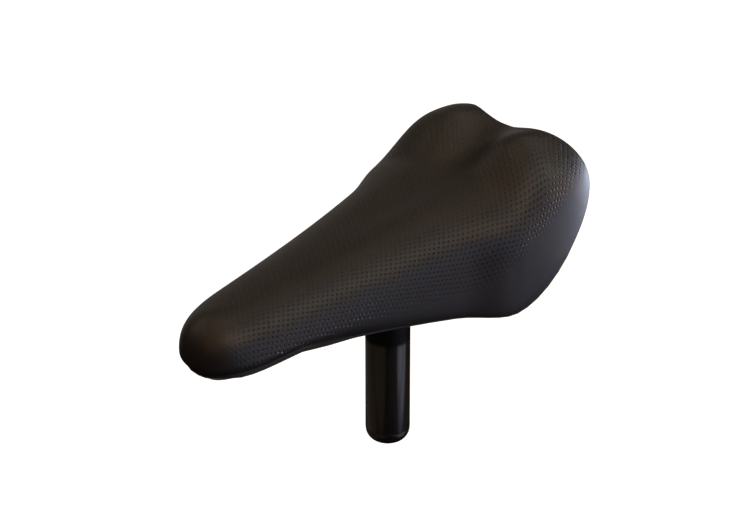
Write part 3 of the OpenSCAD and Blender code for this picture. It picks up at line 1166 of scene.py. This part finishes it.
@dataclass
class PaddedSeat:
    """The moulded skin and the foam below it.

    Attributes:
        form: The saddle's form.
        finishes: The materials.
        skin_rows: Rows over the skin's shoulder and down its flank.
        foam_rows: The same of the foam.
        foam_steps: Shares of the way from the spine, for the rows of the foam's bottom.
        foam_lift: Shares between which that bottom rises to the rim.
        smooth_nose: Stations between which the dots fade out towards the nose.
        dots_end: Share of the shoulder's rows after which the dots fade out at the tail.
        dots_fade: How many rows that takes.
        dots_lower: How much further down the dots reach, and between which stations.
        faint: How strong the dots are along the spine.
        slit_open: Shares of the length between which the slit opens, and closes again.
        hem_drop: How far the lower edge covers the lip, where the photo hides the lip.
        hem_turn: How far the edge turns inwards there.
        hem_rise: How far the edge lifts over the open slit behind the nose.
        cut_drop: How far the middle of the cut edge stands below it.
    """

    form: SaddleForm
    finishes: Finishes
    skin_rows: tuple = (20, 8)
    foam_rows: tuple = (11, 3)
    foam_steps: tuple = (0.87, 0.72, 0.56, 0.5, 0.3, 0.0)
    foam_lift: tuple = (0.42, 1.08)
    smooth_nose: tuple = (228.0, 256.0)
    dots_end: float = 0.58
    dots_fade: float = 0.22
    dots_lower: tuple = ((0.2, 15.0, 50.0), (0.23, 52.0, 100.0))
    faint: float = 0.4
    slit_open: tuple = ((0.79, 0.85), (0.9, 0.945))
    hem_drop: float = 1.5
    hem_turn: float = 0.5
    hem_rise: float = 0.7
    cut_drop: float = 0.3

    def shape_hem(self, outer: list[Row]) -> None:
        """Drops the skin's lower edge over the lip and lifts it over the open slit.

        Args:
            outer: Rows of the skin's outer face; the last one is changed.
        """
        edge = outer[-1]
        far = edge[:, 0] / edge[:, 0].max()
        opens, closes = self.slit_open
        hidden = 1 - ramp(*opens, far) * (1 - ramp(*closes, far))
        out = (edge - outer[-2])[:, :2]
        length = np.sum(out**2, axis=1, keepdims=True) ** 0.5
        edge[:, :2] += self.hem_turn * hidden[:, None] * out / (length + 1e-6)
        edge[:, 2] += self.hem_rise * (1 - hidden) - self.hem_drop * hidden

    def dots(self, outer: list[Row]) -> list[Row]:
        """How strongly the dots show on each row.

        Args:
            outer: Rows of the skin's outer face.

        Returns:
            The strengths, from 0 to 1.
        """
        masks = []
        for k, row in enumerate(outer):
            x, across = row[:, 0], k / (self.skin_rows[0] - 1)
            lower = sum(most * ramp(low, high, x) for most, low, high in self.dots_lower)
            strength = self.faint + (1 - self.faint) * ramp(0.25, 0.6, across)
            masks.append(strength * (1 - ramp(0, self.dots_fade, across - self.dots_end - lower))
                         * (1 - ramp(*self.smooth_nose, x)))
        return masks

    def skin(self) -> None:
        """Builds the skin with its cut lower edge and its inner face."""
        outer = self.form.outer_rows(*self.skin_rows)
        self.shape_hem(outer)
        inner = self.form.offset(outer, self.form.skin)
        middle = self.form.offset(outer, self.form.skin / 2)[-1]
        middle = middle + np.array([0, 0, -self.cut_drop])
        masks = self.dots(outer)
        masks += [0 * masks[0]] * (len(outer) + 1)
        piece = ring_mesh("cover_skin", self.form, outer + [middle] + inner[::-1], masks)
        modifier = piece.modifiers.new("smooth_form", "SUBSURF")
        modifier.levels = modifier.render_levels = 1
        apply_modifiers(piece)
        bpy.ops.object.shade_smooth()
        finish_piece(piece, Slot.SKIN, self.finishes["skin"], "cover")

    def foam(self) -> None:
        """Builds the foam pad between the skin and the base."""
        rows = self.form.offset(self.form.outer_rows(*self.foam_rows), self.form.skin)
        rim = rows[-1].copy()
        rim[:, 2] = self.form.hem - self.form.slit
        rows.append(rim)
        spine = self.form.spine
        for r in self.foam_steps:
            flat = spine + (rim[:, :2] - spine) * r
            lift = float(ramp(*self.foam_lift, r) / ramp(*self.foam_lift, 1.0))
            rows.append(np.column_stack([flat, rim[:, 2] * lift]))
        piece = ring_mesh("foam_body", self.form, rows, [np.zeros(len(rim))] * len(rows))
        smooth(piece, 40.0)
        finish_piece(piece, Slot.FOAM, self.finishes["foam"], "foam_pad")

    def build(self) -> None:
        """Builds both pieces."""
        self.skin()
        self.foam()


@dataclass
class BaseShell:
    """The plastic base and the brass inserts in its bosses.

    Attributes:
        finishes: The materials.
        rib_ends: Heights of the crossed ribs' lower outer ends, in millimetres.
        ribs_from: How far in front of the post these ends lie.
        rib_lift: How far they are tucked up behind the skin's edge.
    """

    finishes: Finishes
    rib_ends: tuple = (87.09, 87.31)
    ribs_from: float = 100.0
    rib_lift: float = 2.5

    def is_rib_end(self, vertex: bmesh.types.BMVert) -> bool:
        """Says whether a vertex belongs to the ends that are tucked up.

        Args:
            vertex: A vertex of the base.

        Returns:
            Whether it does.
        """
        low, high = self.rib_ends
        return low <= vertex.co.z / MM <= high and vertex.co.x > self.ribs_from * MM

    def build(self) -> None:
        """Dresses the base, and the inserts that stay as the solids made them."""
        shell = bpy.data.objects.new("base_form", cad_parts["base_shell"].data.copy())
        link(shell)
        edit(shell)
        bpy.ops.mesh.select_all(action="SELECT")
        bpy.ops.mesh.remove_doubles(threshold=0.00001)
        bpy.ops.mesh.dissolve_limited(angle_limit=math.radians(0.5))
        select_where(shell, "VERT", self.is_rib_end)
        bpy.ops.transform.translate(value=(0, 0, self.rib_lift * MM))
        smooth(shell, 32.0)
        finish_piece(shell, Slot.BASE, self.finishes["base"], "base_shell")
        for place in PLACES:
            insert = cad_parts["insert_" + place]
            insert.data.materials.clear()
            insert.data.materials.append(self.finishes["brass"])


@dataclass
class PostAndPlate:
    """The post tube with its plug, the weld bead and the mounting plate.

    Attributes are lengths in millimetres, the same values as the part's source,
    apart from the plug's rim, setback and round: its dome ends 2.6 mm lower, as in
    the photograph.
    """

    finishes: Finishes
    post_radius: float = 12.7
    post_wall: float = 2.0
    weld_leg: float = 3.5
    weld_bevel: float = 0.8
    weld_radius: float = 1.9
    weld_reach: float = 0.9
    weld_below: float = 1.1
    ripples: int = 42
    ripple_depth: float = 0.32
    plate_length: float = 84.0
    plate_width: float = 40.0
    plate_thickness: float = 3.0
    plate_corner: float = 8.0
    plug_rim: float = 8.6
    plug_setback: float = 0.1
    plug_round: float = 7.6
    plug_depth: float = 14.0
    plug_wall: float = 2.0
    plug_room: float = 0.1
    hole_radius: float = 2.7

    def tube(self) -> None:
        """Builds the open tube with eased ends."""
        piece = turned_part("post_tube", self.post_radius, 0.0, POST_LENGTH, 128)
        at_height(piece, POST_LENGTH)
        bpy.ops.mesh.delete(type="ONLY_FACE")
        at_height(piece, POST_LENGTH, "EDGE")
        bpy.ops.transform.translate(value=(0, 0, -self.weld_leg * MM))
        scale = 1 - self.weld_bevel / self.post_radius
        bpy.ops.mesh.extrude_region_move(
            TRANSFORM_OT_translate={"value": (0, 0, self.weld_leg * MM)})
        bpy.ops.transform.resize(value=(scale, scale, 1.0))
        bpy.ops.mesh.edge_face_add()
        open_through(piece, {POST_LENGTH: self.post_wall - self.weld_bevel, 0.0: self.post_wall})
        bevel(piece, 0.12, 2, 60.0)
        finish_piece(piece, Slot.STEEL, self.finishes["post"], "seat_post")

    def plug(self) -> None:
        """Builds the domed end plug with its hollow stem."""
        rim = self.post_radius - self.plug_setback
        stem = self.post_radius - self.post_wall - self.plug_room
        piece = turned_part("end_plug", rim, -self.plug_rim, 0.0, 128)
        at_height(piece, -self.plug_rim, "EDGE")
        bpy.ops.mesh.bevel(offset=self.plug_round * MM, segments=12, affect="EDGES")
        step_in(piece, 0.0, rim - stem, self.plug_depth)
        step_in(piece, self.plug_depth, self.plug_wall,
                -(self.plug_depth + self.plug_rim - self.plug_wall))
        leave_edit()
        bevel(piece, 0.12, 2, 50.0)
        finish_piece(piece, Slot.PLUG, self.finishes["plug"], "post_end_plug")

    def plate(self) -> None:
        """Builds the mounting plate with round corners and four holes."""
        deselect()
        height = POST_LENGTH + self.plate_thickness / 2
        bpy.ops.mesh.primitive_cube_add(size=1.0, location=(0, 0, height * MM))
        piece = started("plate_form", (self.plate_length * MM, self.plate_width * MM,
                                       self.plate_thickness * MM))
        edit(piece)
        upright = self.plate_thickness * MM * 0.9
        select_where(piece, "EDGE", lambda edge: abs(edge.verts[0].co.z - edge.verts[1].co.z)
                     > upright)
        bpy.ops.mesh.bevel(offset=self.plate_corner * MM, segments=12, affect="EDGES")
        leave_edit()
        master = turned_part("hole_cutter", self.hole_radius, POST_LENGTH - 1,
                             POST_LENGTH + self.plate_thickness + 1, 32)
        leave_edit()
        cut(piece, [at_screw(master, "hole_cutter", signs) for signs in SIGNS])
        bpy.data.objects.remove(master)
        bevel(piece, 0.45, 3, 60.0)
        finish_piece(piece, Slot.STEEL, self.finishes["powder"], "mounting_plate")

    def weld(self) -> None:
        """Builds the weld bead with its row of overlapping ripples."""
        deselect()
        bpy.ops.mesh.primitive_torus_add(
            major_radius=(self.post_radius + self.weld_reach) * MM,
            minor_radius=self.weld_radius * MM, major_segments=self.ripples * 6,
            minor_segments=14, location=(0, 0, (POST_LENGTH - self.weld_below) * MM))
        piece = started("weld_ripples")
        group = piece.vertex_groups.new(name="ripple")
        for vertex in piece.data.vertices:
            turn = math.atan2(vertex.co.y, vertex.co.x) * self.ripples
            lag = (vertex.co.z / MM - POST_LENGTH) * 0.9
            group.add([vertex.index], 0.5 + 0.5 * math.cos(turn + lag), "REPLACE")
        modifier = piece.modifiers.new("ripples", "DISPLACE")
        modifier.strength = self.ripple_depth * MM
        modifier.mid_level = 0.3
        modifier.vertex_group = "ripple"
        apply_modifiers(piece)
        edit(piece)
        bpy.ops.mesh.select_all(action="SELECT")
        bpy.ops.mesh.bisect(plane_co=(0, 0, POST_LENGTH * MM), plane_no=(0, 0, 1),
                            clear_outer=True, use_fill=True)
        smooth(piece, 45.0)
        finish_piece(piece, Slot.STEEL, self.finishes["powder"], "weld_bead")

    def build(self) -> None:
        """Builds all four pieces."""
        self.tube()
        self.plug()
        self.plate()
        self.weld()


@dataclass
class Fasteners:
    """Button-head screws and washers under the plate.

    Attributes are lengths in millimetres, the same values as the part's source.
    """

    finishes: Finishes
    screw_size: float = 5.0
    screw_length: float = 10.0
    head_height: float = 2.8
    head_diameter: float = 9.5
    head_round: float = 0.78
    socket_width: float = 3.0
    socket_depth: float = 1.6
    washer_diameter: float = 10.6
    washer_thickness: float = 1.0
    screw_room: float = 0.2

    def screw(self) -> Piece:
        """Models one screw on the part's axis.

        Returns:
            The screw.
        """
        under = POST_LENGTH - self.washer_thickness
        bottom = under - self.head_height
        piece = turned_part("screw_master", self.head_diameter / 2, bottom, under, 64)
        at_height(piece, bottom, "EDGE")
        bpy.ops.mesh.bevel(offset=self.head_height * self.head_round * MM, segments=8,
                           affect="EDGES", profile=0.55)
        step_in(piece, under, (self.head_diameter - self.screw_size) / 2, self.screw_length)
        deselect()
        bpy.ops.mesh.primitive_cylinder_add(
            vertices=6, radius=self.socket_width / 2 / math.cos(math.pi / 6) * MM,
            depth=2 * self.socket_depth * MM, location=(0, 0, bottom * MM))
        cut(piece, [started("socket_cutter")])
        bevel(piece, 0.18, 2, 40.0)
        return piece

    def washer(self) -> Piece:
        """Models one washer on the part's axis.

        Returns:
            The washer.
        """
        under = POST_LENGTH - self.washer_thickness
        wall = (self.washer_diameter - self.screw_size) / 2 - self.screw_room
        piece = turned_part("washer_master", self.washer_diameter / 2, under, POST_LENGTH, 64)
        open_through(piece, {under: wall, POST_LENGTH: wall})
        bevel(piece, 0.15, 2, 50.0)
        return piece

    def build(self) -> None:
        """Models a screw and a washer once and copies each to four places."""
        masters = ((self.screw(), "screw", Slot.SCREW, self.finishes["oxide"]),
                   (self.washer(), "washer", Slot.ZINC, self.finishes["zinc"]))
        for master, kind, slot, material in masters:
            for signs, place in zip(SIGNS, PLACES):
                other = at_screw(master, f"{kind}_{place}_form", signs)
                finish_piece(other, slot, material, f"{kind}_{place}")
            bpy.data.objects.remove(master)


@dataclass(frozen=True)
class Glow:
    """One soft light of the room, far away and as wide as a window or a wall.

    Attributes:
        azimuth: Degrees from the nose towards the rider's left.
        elevation: Degrees above the floor.
        spread: Width in degrees.
        strength: Watts per square metre in red, green and blue.
        pieces: The only pieces it lights, where flags keep it off the others.
    """

    azimuth: float
    elevation: float
    spread: float
    strength: tuple
    pieces: tuple = ()

    def hang(self, name: str) -> None:
        """Adds the light.

        Args:
            name: Its name.
        """
        data = bpy.data.lights.new(name, "SUN")
        data.energy = max(self.strength)
        data.color = tuple(part / data.energy for part in self.strength)
        data.angle = math.radians(self.spread)
        shine = -direction(self.azimuth, self.elevation)
        lamp = bpy.data.objects.new(name, data)
        lamp.matrix_world = shine.to_track_quat("-Z", "Y").to_matrix().to_4x4()
        link(lamp)
        if self.pieces:
            lit = bpy.data.collections.new(name + "_lit")
            for piece in self.pieces:
                lit.objects.link(bpy.data.objects[piece])
            lamp.light_linking.receiver_collection = lit


POST_PIECES = ("post_tube", "end_plug")
HIDDEN_PIECES = ("base_form", "plate_form", "weld_ripples", "foam_body") + tuple(
    f"{kind}_{place}_form" for kind in ("screw", "washer") for place in PLACES)
ROOM = (
    Glow(85, 0, 38, (0.125, 0.172, 0.29)),
    Glow(115, 0, 30, (0.11, 0.14, 0.2)),
    Glow(140, 0, 25, (0.233, 0.13, 0.06)),
    Glow(135, 25, 25, (0.319, 0.326, 0.249)),
    Glow(175, -15, 26, (1.15, 1.23, 1.57), ("cover_skin",)),
    Glow(120, -30, 38, (0.1, 0.109, 0.154)),
    Glow(20, 40, 60, (0.4, 0.23, 0.1)),
    Glow(80, 40, 38, (0.678, 0.515, 0.4)),
    Glow(130, 45, 38, (0.236, 0.234, 0.247)),
    Glow(180, 45, 38, (0.254, 0.207, 0.163)),
    Glow(235, 35, 38, (0.074, 0.061, 0.051)),
    Glow(300, 40, 50, (0.35, 0.29, 0.23)),
    Glow(0, 90, 38, (0.279, 0.211, 0.144)),
    Glow(105, -27, 22, (0.072, 0.065, 0.063)),
    Glow(-60, -27, 70, (0.09, 0.065, 0.05), POST_PIECES),
    Glow(5, -27, 50, (0.075, 0.054, 0.038), POST_PIECES),
    Glow(130, -27, 32, (0.09, 0.092, 0.105), POST_PIECES),
    Glow(240, -8, 50, (0.15, 0.14, 0.13)),
    Glow(200, -80, 60, (0.5, 0.48, 0.46), HIDDEN_PIECES),
)


@dataclass
class Studio:
    """Floor, lights and the camera at the photograph's angle.

    Attributes:
        finishes: The materials.
        azimuth: Degrees from the nose towards the rider's left.
        elevation: Degrees above the horizontal.
        roll: Degrees.
        focal: Focal length in pixels.
        distance: Camera to the reference point, in millimetres.
        aim: Picture place of the reference point, in pixels.
        reference: The reference point, in millimetres.
        floor_height: Height of the floor, in millimetres.
        floor_glow: How much the floor glows, so that it shows white.
        room_low: Colour of the dim room near the floor.
        room_high: Its colour overhead.
    """

    finishes: Finishes
    azimuth: float = 44.024
    elevation: float = 27.422
    roll: float = 0.056
    focal: float = 2638.952
    distance: float = 1461.878
    aim: tuple = (387.832, 277.955)
    reference: tuple = (0.0, 0.0, 94.2)
    floor_height: float = -320.0
    floor_glow: float = 0.75
    room_low: tuple = (0.012, 0.012, 0.011, 1.0)
    room_high: tuple = (0.03, 0.028, 0.026, 1.0)

    def camera(self) -> None:
        """Places the camera."""
        forward = -direction(self.azimuth, self.elevation)
        roll = math.radians(self.roll)
        right = forward.cross(Vector((0, 0, 1))).normalized()
        down = forward.cross(right)
        turned = right * math.cos(roll) + down * math.sin(roll)
        drop = down * math.cos(roll) - right * math.sin(roll)
        offset = (turned * (self.aim[0] - PICTURE[0] / 2) / self.focal
                  + drop * (self.aim[1] - PICTURE[1] / 2) / self.focal + forward) * self.distance
        position = (Vector(self.reference) - offset) * MM
        data = bpy.data.cameras.new("photo_camera")
        data.sensor_fit = "HORIZONTAL"
        data.sensor_width = SENSOR
        data.lens = self.focal / PICTURE[0] * SENSOR
        data.clip_start = 0.05
        data.clip_end = 20.0
        camera = bpy.data.objects.new("photo_camera", data)
        turn = Matrix((turned, -drop, -forward)).transposed()
        camera.matrix_world = Matrix.Translation(position) @ turn.to_4x4()
        link(camera)
        bpy.context.scene.camera = camera

    def floor(self) -> None:
        """Adds the pale floor, clear from below so that the underside can be looked at."""
        material = self.finishes["floor"]
        deselect()
        bpy.ops.mesh.primitive_plane_add(size=12.0, location=(0, 0, self.floor_height * MM))
        piece = started("studio_floor")
        piece.data.materials.append(material)
        graph = Graph(material.node_tree)
        shader = graph.put(graph.find("BSDF_PRINCIPLED"), Emission_Color=WHITE,
                           Emission_Strength=self.floor_glow)
        side = graph.node("NewGeometry").outputs["Backfacing"]
        graph.blend(side, shader, graph.node("BsdfTransparent"), graph.find("OUTPUT_MATERIAL"))
        piece.visible_glossy = piece.visible_diffuse = piece.visible_shadow = False

    def sky(self) -> None:
        """Adds the sky: white to the camera, a dim room to everything else."""
        world = bpy.data.worlds.new("studio")
        world.use_nodes = True
        graph = Graph(world.node_tree)
        split = graph.fill(graph.node("SeparateXYZ"),
                           graph.node("TexCoord").outputs["Generated"])
        height = graph.span(split.outputs[2], -0.3, 0.9)
        room = graph.fill(graph.find("BACKGROUND"),
                          graph.mix(height, self.room_low, self.room_high))
        white = graph.fill(graph.node("Background"), WHITE)
        seen = graph.node("LightPath").outputs["Is Camera Ray"]
        graph.blend(seen, room, white, graph.find("OUTPUT_WORLD"))
        bpy.context.scene.world = world

    def build(self) -> None:
        """Builds camera, floor, sky and the soft lights of the room."""
        self.camera()
        self.floor()
        self.sky()
        bpy.context.scene.view_settings.view_transform = "Standard"
        for number, glow in enumerate(ROOM):
            glow.hang(f"soft_light_{number}")


def main() -> None:
    """Builds the saddle, then the studio."""
    logging.basicConfig(level=logging.INFO, format="%(name)s: %(message)s")
    groups = Groups()
    finishes = {name: finish.build(groups) for name, finish in FINISHES.items()}
    PaddedSeat(SaddleForm(), finishes).build()
    BaseShell(finishes).build()
    PostAndPlate(finishes).build()
    Fasteners(finishes).build()
    Studio(finishes).build()


if __name__ == "__main__":
    main()
